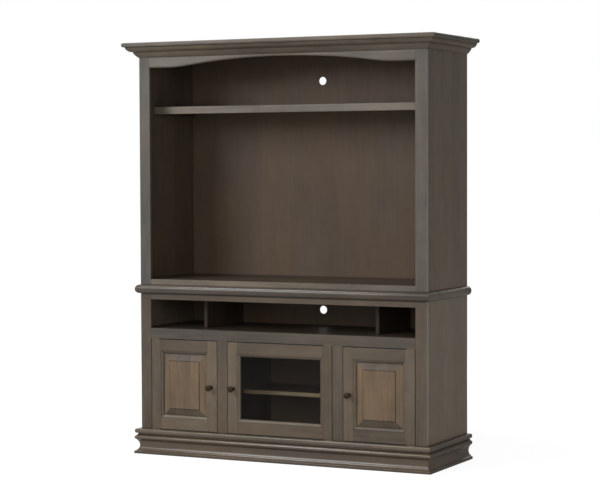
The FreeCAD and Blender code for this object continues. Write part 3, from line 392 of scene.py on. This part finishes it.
# Near black painted shade along door gaps and the step round a panel's field
EDGE_SHADE = srgb(26, 22, 17)
NOSE = srgb(88, 79, 69)
NOSE_END = srgb(122, 111, 98)
CAP_NOSE = srgb(118, 107, 94)
FOOT = srgb(95, 79, 61)
CROWN = srgb(110, 102, 92)
SIDE_TRIM = srgb(86, 78, 69)
CAP = srgb(118, 112, 105)
INSIDE = srgb(70, 61, 53)
BACK = srgb(102, 89, 78)
SHELF = srgb(158, 146, 118)
RAW = srgb(176, 148, 112)

# What the woods of one part of the cabinet share
# Base and door arrises take painted shade, darkest round the doors
BASE_LOOK = {"edge_cover": 0.6, "edge_tone": 0.3}
DOOR_LOOK = {"edge_cover": 0.95, "edge_tone": 0.12, "edge_radius": 0.0026}
END_LOOK = {"edge_cover": 0.1, "specular": 0.03}
NOSE_LOOK = {"roughness": 0.14, "specular": 0.3}
INSIDE_LOOK = {"edge_cover": 0.2, "specular": 0.15}
INSIDE_STAVES = {"stave_axis": "Y", "stave_width": 0.11}

# Where a wood's name here ends in x, y or z, its grain follows that axis
hutch_x = wood("hutch_wood_x", "X", HUTCH_RAIL, 1.0, edge_cover=0.1)
hutch_z = wood("hutch_wood_z", "Z", HUTCH_STILE, 2.0, edge_cover=0.1)
hutch_side = wood("hutch_side_wood", "Z", HUTCH_SIDE, 6.0, stave_axis="Y", stave_width=0.095,
                  contrast=0.4, specular=0.03)
base_x = wood("base_wood_x", "X", BASE, 15.0, **BASE_LOOK)
base_rail_x = wood("base_rail_wood", "X", BASE_RAIL, 24.0, **BASE_LOOK)
base_z = wood("base_wood_z", "Z", BASE, 16.0, **BASE_LOOK)
base_side = wood("base_side_wood", "Z", BASE_SIDE, 19.0, stave_axis="Y", stave_width=0.12,
                 contrast=0.3, specular=0.03)
door_x = wood("door_wood_x", "X", DOOR, 3.0, **DOOR_LOOK)
door_z = wood("door_wood_z", "Z", DOOR, 4.0, **DOOR_LOOK)
door_dark_x = wood("door_dark_wood_x", "X", DOOR_DARK, 25.0, **DOOR_LOOK)
door_dark_z = wood("door_dark_wood_z", "Z", DOOR_DARK, 26.0, **DOOR_LOOK)
door_pale_x = wood("door_pale_wood_x", "X", DOOR_PALE, 27.0, **DOOR_LOOK)
door_pale_z = wood("door_pale_wood_z", "Z", DOOR_PALE, 28.0, **DOOR_LOOK)
# Painted shade on eased door arrises and on the step walls round the panels' fields
painted_edge_shade = wood("painted_shade_edge_wood", "Z", EDGE_SHADE, 22.0, edge_cover=0.1, specular=0.1)
# The panel's arrises take painted shade
panel_z = wood("panel_wood", "Z", PANEL, 5.0, stave_axis="X", stave_width=0.062,
               edge_cover=0.95, edge_tone=0.2, edge_radius=0.0022)
nose_x = wood("nose_wood", "X", NOSE, 17.0, **NOSE_LOOK)
cap_nose_x = wood("cap_nose_wood", "X", CAP_NOSE, 29.0, **NOSE_LOOK)
# The foot's arrises take a strong painted highlight, and its hollows painted shade out to 18 mm
foot_x = wood("foot_wood", "X", FOOT, 20.0, roughness=0.2, specular=0.5, edge_cover=0.9, edge_tone=3.0,
              painted_shade_reach=0.018)
nose_end = wood("nose_end_wood", "X", NOSE_END, 21.0, **END_LOOK)
cap_end = wood("cap_end_wood", "X", BASE_SIDE, 23.0, **END_LOOK)
cap_x = wood("cap_wood", "X", CAP, 18.0, specular=0.08)
# The crown's hollows take painted shade out to 60 mm, the side trims' out to 18 mm
crown_x = wood("crown_wood", "X", CROWN, 7.0, specular=0.1, painted_shade_reach=0.06)
trim_y = wood("side_trim_wood", "Y", SIDE_TRIM, 8.0, specular=0.03, painted_shade_reach=0.018)
inside_x = wood("inside_wood_x", "X", INSIDE, 9.0, **INSIDE_STAVES, **INSIDE_LOOK)
inside_y = wood("inside_wood_y", "Y", INSIDE, 10.0, **INSIDE_LOOK)
inside_z = wood("inside_wood_z", "Z", INSIDE, 11.0, **INSIDE_STAVES, **INSIDE_LOOK)
back_z = wood("back_wood", "Z", BACK, 12.0, contrast=0.45, edge_cover=0.1, specular=0.15)
shelf_edge = wood("shelf_edge_wood", "X", SHELF, 14.0, **INSIDE_LOOK)
raw_x = wood("hidden_wood", "X", RAW, 13.0, edge_cover=0.2, roughness=0.6)
bronze = metal("knob_bronze", srgb(46, 36, 30), 0.34)
hinge_metal = metal("hinge_steel", srgb(120, 104, 84), 0.35)
zinc = metal("screw_steel", srgb(172, 170, 164), 0.32)
catch_plastic = plastic("dark_plastic", srgb(58, 46, 38))
glass = pane("pane_glass")

# Boards that get their arrises eased, and their woods. Of a door's two rails or stiles, that is the lower
# or left-hand one's wood.
EASED_BOARDS = {
    "arched_rail": hutch_x,
    "base_back_panel": back_z,
    "base_bottom_rail": base_x,
    "base_floor": inside_x,
    "base_left_side": base_side,
    "base_middle_rail": base_rail_x,
    "base_middle_stiles": base_z,
    "base_outer_stiles": base_z,
    "base_right_side": base_side,
    "base_top_board": nose_x,
    "base_top_rail": base_x,
    "bay_dividers": inside_z,
    "cap_board": cap_x,
    "cap_moulding_front": cap_nose_x,
    "cap_moulding_left": trim_y,
    "cap_moulding_right": trim_y,
    "crown_moulding_front": crown_x,
    "crown_moulding_left": trim_y,
    "crown_moulding_right": trim_y,
    "cupboard_shelves": inside_x,
    "foot_moulding_front": foot_x,
    "foot_moulding_left": trim_y,
    "foot_moulding_right": trim_y,
    "glue_blocks": raw_x,
    "hutch_back_panel": back_z,
    "hutch_bottom_rail": hutch_x,
    "hutch_floor": inside_x,
    "hutch_left_side": hutch_side,
    "hutch_right_side": hutch_side,
    "hutch_shelf": inside_x,
    "hutch_shelf_cleats": inside_y,
    "hutch_shelf_nosing": hutch_x,
    "hutch_stiles": hutch_z,
    "hutch_top_panel": inside_x,
    "left_door_panel": panel_z,
    "left_door_rails": door_pale_x,
    "left_door_stiles": door_dark_z,
    "media_shelf": inside_x,
    "middle_door_rails": door_x,
    "middle_door_stiles": door_pale_z,
    "partitions": inside_z,
    "right_door_panel": panel_z,
    "right_door_rails": door_x,
    "right_door_stiles": door_z,
}
# A door frame's upper or right-hand boards: the axis that tells them from the others, and their wood
TWIN_BOARDS = {
    "left_door_rails": (Z, door_dark_x),
    "left_door_stiles": (X, door_pale_z),
    "middle_door_rails": (Z, door_dark_x),
    "middle_door_stiles": (X, door_dark_z),
    "right_door_rails": (Z, door_dark_x),
    "right_door_stiles": (X, door_z),
}
# Boards with other wood on the faces that face along an axis: that axis, and the wood. The shelves' front
# edges are far paler than their tops.
FACED_BOARDS = {
    "base_top_board": (X, nose_end),
    "cap_board": (X, cap_end),
    "cupboard_shelves": (Y, shelf_edge),
}
# Pieces that keep their CAD meshes. The glass stops and the cleats are among them, because their corners
# meet, and an eased copy would weld them together there.
PLAIN_NODES = {
    "door_catches": catch_plastic,
    "glass_stops": door_x,
    "hinge_frame_leaves": hinge_metal,
    "hutch_screws": zinc,
    "left_door_fittings": zinc,
    "left_door_hinge_leaves": hinge_metal,
    "middle_door_fittings": zinc,
    "middle_door_glass": glass,
    "middle_door_hinge_leaves": hinge_metal,
    "right_door_fittings": zinc,
    "right_door_hinge_leaves": hinge_metal,
    "shelf_pins": zinc,
    "top_board_cleats": raw_x,
}

BODIES = {
    node: body for body, members in frame["record"]["behaviour"]["bodies"].items() for node in members
}

# Material slots after a board's own wood
# Slot of the painted shade on eased door arrises and a field's step walls
SHADE_SLOT = 1
FACING_SLOT = 1
TWIN_SLOT = 2

WELD_DISTANCE = 0.000002
FLAT_ANGLE = math.radians(0.2)
SHARP_ANGLE = math.radians(32)
PANEL_SHARP_ANGLE = math.radians(8)
# Width taken off an arris of a plain board, of a door's outline, and round a panel's raised field
EASE = 0.0006
DOOR_EASE = 0.0018
FIELD_EASE = 0.0020
EASE_SEGMENTS = 2
# How far from square to an axis a face may be, as its normal's share along it, and still face along it
FACED_SLANT = 0.05
# Share of a face's normal towards the front, under which the face is a wall of the step round the field
STEP_WALL_SLANT = 0.5
OUTLINE_SLACK = 0.0001


def finish_faced_ends(work, axis):
    for face in work.faces:
        if abs(face.normal[axis]) > FACED_SLANT:
            face.material_index = FACING_SLOT


def tell_twins_apart(work, node):
    """Gives the upper or right-hand one of two boards its own wood."""
    axis = TWIN_BOARDS[node][0]
    low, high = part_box(node)
    middle = (low[axis] + high[axis]) / 2
    for face in work.faces:
        if face.calc_center_median()[axis] > middle:
            face.material_index = TWIN_SLOT


def weigh_door_edges(work, node):
    """Says how much each arris of a door frame is eased, and so how wide its painted shade is: most on the
    door's outline, none in its joints.
    """
    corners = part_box(node.rsplit("_", 1)[0] + "_stiles")
    weights = work.edges.layers.float.new("bevel_weight_edge")
    for edge in work.edges:
        if len(edge.link_faces) != 2 or edge.calc_face_angle() < SHARP_ANGLE:
            continue
        first, second = [vert.co for vert in edge.verts]
        on_outline = False
        for corner in corners:
            for axis in (X, Z):
                off = max(abs(first[axis] - corner[axis]), abs(second[axis] - corner[axis]))
                on_outline = on_outline or off < OUTLINE_SLACK
        in_joint = node.endswith("_rails") and abs(first.x - second.x) < OUTLINE_SLACK
        if on_outline:
            edge[weights] = 1.0
        elif not in_joint:
            edge[weights] = EASE / DOOR_EASE


def weigh_panel_edges(work):
    """Puts painted shade on the step round a panel's raised field, and keeps its other edges crisp."""
    front = min(vert.co.y for vert in work.verts)
    weights = work.edges.layers.float.new("bevel_weight_edge")
    for edge in work.edges:
        if len(edge.link_faces) != 2 or edge.calc_face_angle() < PANEL_SHARP_ANGLE:
            continue
        if max(vert.co.y for vert in edge.verts) - front < OUTLINE_SLACK:
            edge[weights] = 1.0
            for face in edge.link_faces:
                if abs(face.normal.y) < STEP_WALL_SLANT:
                    face.material_index = SHADE_SLOT
        else:
            edge.smooth = False


def dress(piece, node):
    """Puts a piece into the scene on its node's body, in its place, and hides the node's CAD part."""
    bpy.context.scene.collection.objects.link(piece)
    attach(piece, BODIES[node])
    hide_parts(node)


def eased_board(node, material):
    """A copy of a CAD board with its arrises taken off, as sandpaper leaves them."""
    is_panel = node.endswith("_door_panel")
    has_shade_edges = is_panel or node in TWIN_BOARDS
    mesh = frame["nodes"][node].data.copy()
    mesh.name = node + "_eased"
    mesh.materials.clear()
    mesh.materials.append(material)
    work = bmesh.new()
    work.from_mesh(mesh)
    bmesh.ops.remove_doubles(work, verts=work.verts, dist=WELD_DISTANCE)
    bmesh.ops.dissolve_limit(
        work, angle_limit=FLAT_ANGLE, use_dissolve_boundaries=False, verts=work.verts, edges=work.edges
    )
    for face in work.faces:
        face.smooth = True
    # Eased door arrises and a field's step walls take painted shade
    if has_shade_edges:
        mesh.materials.append(painted_edge_shade)
    if node in FACED_BOARDS:
        facing_axis, facing_material = FACED_BOARDS[node]
        mesh.materials.append(facing_material)
        finish_faced_ends(work, facing_axis)
    if node in TWIN_BOARDS:
        mesh.materials.append(TWIN_BOARDS[node][1])
        tell_twins_apart(work, node)
        weigh_door_edges(work, node)
    if is_panel:
        weigh_panel_edges(work)
    work.to_mesh(mesh)
    work.free()
    # The CAD mesh's normals and sharp marks don't fit the eased form. A panel keeps the marks set above.
    stale = ("custom_normal", "sharp_face") if is_panel else ("custom_normal", "sharp_face", "sharp_edge")
    for name in stale:
        if name in mesh.attributes:
            mesh.attributes.remove(mesh.attributes[name])
    piece = bpy.data.objects.new(node + "_eased", mesh)
    bevel = piece.modifiers.new("ease", "BEVEL")
    bevel.segments = EASE_SEGMENTS
    bevel.harden_normals = True
    bevel.miter_outer = "MITER_ARC"
    if has_shade_edges:
        bevel.width = FIELD_EASE if is_panel else DOOR_EASE
        bevel.limit_method = "WEIGHT"
        # A door's eased faces take the painted shade
        bevel.material = SHADE_SLOT
    else:
        bevel.width = EASE
        bevel.limit_method = "ANGLE"
        bevel.angle_limit = SHARP_ANGLE
    weight = piece.modifiers.new("weigh", "WEIGHTED_NORMAL")
    weight.mode = "FACE_AREA"
    weight.keep_sharp = True
    dress(piece, node)


for node, material in EASED_BOARDS.items():
    eased_board(node, material)
for node, material in PLAIN_NODES.items():
    data = frame["nodes"][node].data
    data.materials.clear()
    data.materials.append(material)

# Outline of a turned knob: radius and distance from the door, as shares of its radius and reach
KNOB_SHARES = (
    (0.0, 0.0), (0.61, 0.0), (0.64, 0.01), (0.65, 0.04), (0.64, 0.065), (0.58, 0.085), (0.48, 0.10),
    (0.40, 0.118), (0.35, 0.15), (0.31, 0.22), (0.29, 0.31), (0.295, 0.40), (0.32, 0.48), (0.36, 0.55),
    (0.42, 0.605), (0.54, 0.645), (0.72, 0.67), (0.87, 0.70), (0.96, 0.735), (1.0, 0.785), (0.98, 0.83),
    (0.935, 0.865), (0.91, 0.872), (0.89, 0.885), (0.80, 0.915), (0.66, 0.945), (0.48, 0.97), (0.26, 0.99),
    (0.10, 0.998), (0.0, 1.0),
)
KNOB_STEPS = 56


def knob_ring(work, centre, y, radius):
    """A ring of points round the knob's axis, or its one point where the radius is nothing."""
    if radius == 0.0:
        return [work.verts.new((centre.x, y, centre.z))]
    ring = []
    for step in range(KNOB_STEPS):
        turn = 2 * math.pi * step / KNOB_STEPS
        x = centre.x + radius * math.cos(turn)
        z = centre.z + radius * math.sin(turn)
        ring.append(work.verts.new((x, y, z)))
    return ring


def turned_knob(node, material):
    """A knob spun from its outline, in the place of the CAD knob."""
    low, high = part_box(node)
    centre = (low + high) / 2
    radius = (high.x - low.x) / 2
    reach = high.y - low.y
    work = bmesh.new()
    rings = [knob_ring(work, centre, high.y - away * reach, out * radius) for out, away in KNOB_SHARES]
    for first, second in zip(rings, rings[1:]):
        for step in range(KNOB_STEPS):
            after = (step + 1) % KNOB_STEPS
            corners = [first[step % len(first)], first[after % len(first)]]
            corners += [second[after % len(second)], second[step % len(second)]]
            work.faces.new(list(dict.fromkeys(corners)))
    bmesh.ops.recalc_face_normals(work, faces=work.faces)
    for face in work.faces:
        face.smooth = True
    mesh = bpy.data.meshes.new(node + "_turned")
    work.to_mesh(mesh)
    work.free()
    mesh.set_sharp_from_angle(angle=SHARP_ANGLE)
    mesh.materials.append(material)
    dress(bpy.data.objects.new(node + "_turned", mesh), node)


for node in ("left_door_knob", "middle_door_knob", "right_door_knob"):
    turned_knob(node, bronze)

# Floor: its reach, its own colour, and how near white it is seen close to the object and away from it
FLOOR_REACH = 40.0
FLOOR_COLOUR = (0.28, 0.28, 0.28, 1.0)
FLOOR_NEAR = 1.2
FLOOR_FAR = 3.2
FLOOR_NEAR_LEVEL = 0.90
FLOOR_FAR_LEVEL = 1.0
# Light that the world sends to the object
WORLD_LEVEL = 0.05


def seen_directly(g):
    """1 for what the camera sees, reflected or through glass too, and 0 for what lights a surface."""
    path = g.add("ShaderNodeLightPath")
    seen = g.maths("MAXIMUM", path.outputs["Is Camera Ray"], path.outputs["Is Glossy Ray"])
    return g.maths("MAXIMUM", seen, path.outputs["Is Transmission Ray"])


def floor_material():
    """Pale floor that keeps the object's shadow and reads as white to the camera and in reflections."""
    g = Graph(bpy.data.materials.new("floor_pale"))
    distance = g.measure("LENGTH", g.add("ShaderNodeTexCoord").outputs["Object"])
    level = g.spread(distance, FLOOR_NEAR, FLOOR_FAR, FLOOR_NEAR_LEVEL, FLOOR_FAR_LEVEL)
    diffuse = g.add("ShaderNodeBsdfDiffuse", Color=FLOOR_COLOUR)
    strength = g.maths("MULTIPLY", seen_directly(g), level)
    glow = g.add("ShaderNodeEmission", Color=WHITE, Strength=strength)
    both = (diffuse.outputs["BSDF"], glow.outputs["Emission"])
    total = g.feed_in_order(g.add("ShaderNodeAddShader"), both)
    return g.finish(total.outputs["Shader"])


floor_mesh = bpy.data.meshes.new("floor")
floor_corners = [(x * FLOOR_REACH, y * FLOOR_REACH, 0.0) for x, y in ((-1, -1), (1, -1), (1, 1), (-1, 1))]
floor_mesh.from_pydata(floor_corners, [], [(0, 1, 2, 3)])
floor_mesh.materials.append(floor_material())
floor = bpy.data.objects.new("floor", floor_mesh)
bpy.context.scene.collection.objects.link(floor)

# A world that is white to look at and lights the object only a little
world = bpy.data.worlds.new("studio")
bpy.context.scene.world = world
sky = Graph(world, "ShaderNodeOutputWorld")
sky_level = sky.spread(seen_directly(sky), 0.0, 1.0, WORLD_LEVEL, 1.0)
sky.finish(sky.add("ShaderNodeBackground", Color=WHITE, Strength=sky_level).outputs["Background"])

# Daylight from high on the left and from above, and warmer fills from the front, behind and low on the
# right. Places, targets and sizes are in metres, and powers in watts.
SKY_COLOUR = (0.95, 0.98, 1.0)
FILL_COLOUR = (1.0, 0.97, 0.92)
Lamp = namedtuple("Lamp", "name place target size power colour")
LAMPS = (
    Lamp("key", (-2.3, -4.1, 3.1), (0.0, 0.0, 1.2), 2.0, 96.0, SKY_COLOUR),
    Lamp("above", (-2.0, -1.5, 4.5), (0.0, -0.2, 0.8), 1.5, 66.0, SKY_COLOUR),
    Lamp("front", (1.8, -4.8, 2.0), (0.0, 0.0, 1.2), 2.5, 58.0, FILL_COLOUR),
    Lamp("behind", (0.0, 4.6, 2.6), (0.0, 0.3, 1.0), 2.0, 70.0, FILL_COLOUR),
    Lamp("low_right", (3.2, -0.3, 0.35), (0.8, 0.0, 0.4), 1.5, 26.0, FILL_COLOUR),
)


def soft_box(lamp):
    """A square soft box, turned to its target."""
    data = bpy.data.lights.new(lamp.name, "AREA")
    data.shape = "SQUARE"
    data.size = lamp.size
    data.energy = lamp.power
    data.color = lamp.colour
    light = bpy.data.objects.new(lamp.name, data)
    bpy.context.scene.collection.objects.link(light)
    light.location = lamp.place
    light.rotation_euler = (Vector(lamp.target) - Vector(lamp.place)).to_track_quat("-Z", "Y").to_euler()
    light.visible_camera = False


for lamp in LAMPS:
    soft_box(lamp)

# Where the photographer stood, in the frame's metres, and how the camera was turned, in degrees
CAMERA_PLACE = (4.1888, -8.4294, 1.4290)
CAMERA_AZIMUTH = 26.395
CAMERA_DROP = 2.564
CAMERA_ROLL = -0.226
FOCAL_PIXELS = 1942.0
IMAGE_WIDTH_PIXELS = 600.0
SENSOR_WIDTH_MM = 36.0
CLIP_END = 200.0

azimuth = math.radians(CAMERA_AZIMUTH)
drop = math.radians(CAMERA_DROP)
roll = math.radians(CAMERA_ROLL)
ahead = Vector((-math.sin(azimuth) * math.cos(drop), math.cos(azimuth) * math.cos(drop), -math.sin(drop)))
level = Vector((math.cos(azimuth), math.sin(azimuth), 0.0))
upward = level.cross(ahead)
right = level * math.cos(roll) + upward * math.sin(roll)
up = right.cross(ahead)
turn = Matrix((right, up, -ahead)).transposed()
camera_data = bpy.data.cameras.new("camera")
camera_data.sensor_fit = "HORIZONTAL"
camera_data.sensor_width = SENSOR_WIDTH_MM
camera_data.lens = FOCAL_PIXELS * SENSOR_WIDTH_MM / IMAGE_WIDTH_PIXELS
camera_data.clip_end = CLIP_END
camera = bpy.data.objects.new("camera", camera_data)
bpy.context.scene.collection.objects.link(camera)
camera.matrix_world = Matrix.Translation(CAMERA_PLACE) @ turn.to_4x4()
bpy.context.scene.camera = camera

bpy.context.scene.view_settings.view_transform = "Standard"
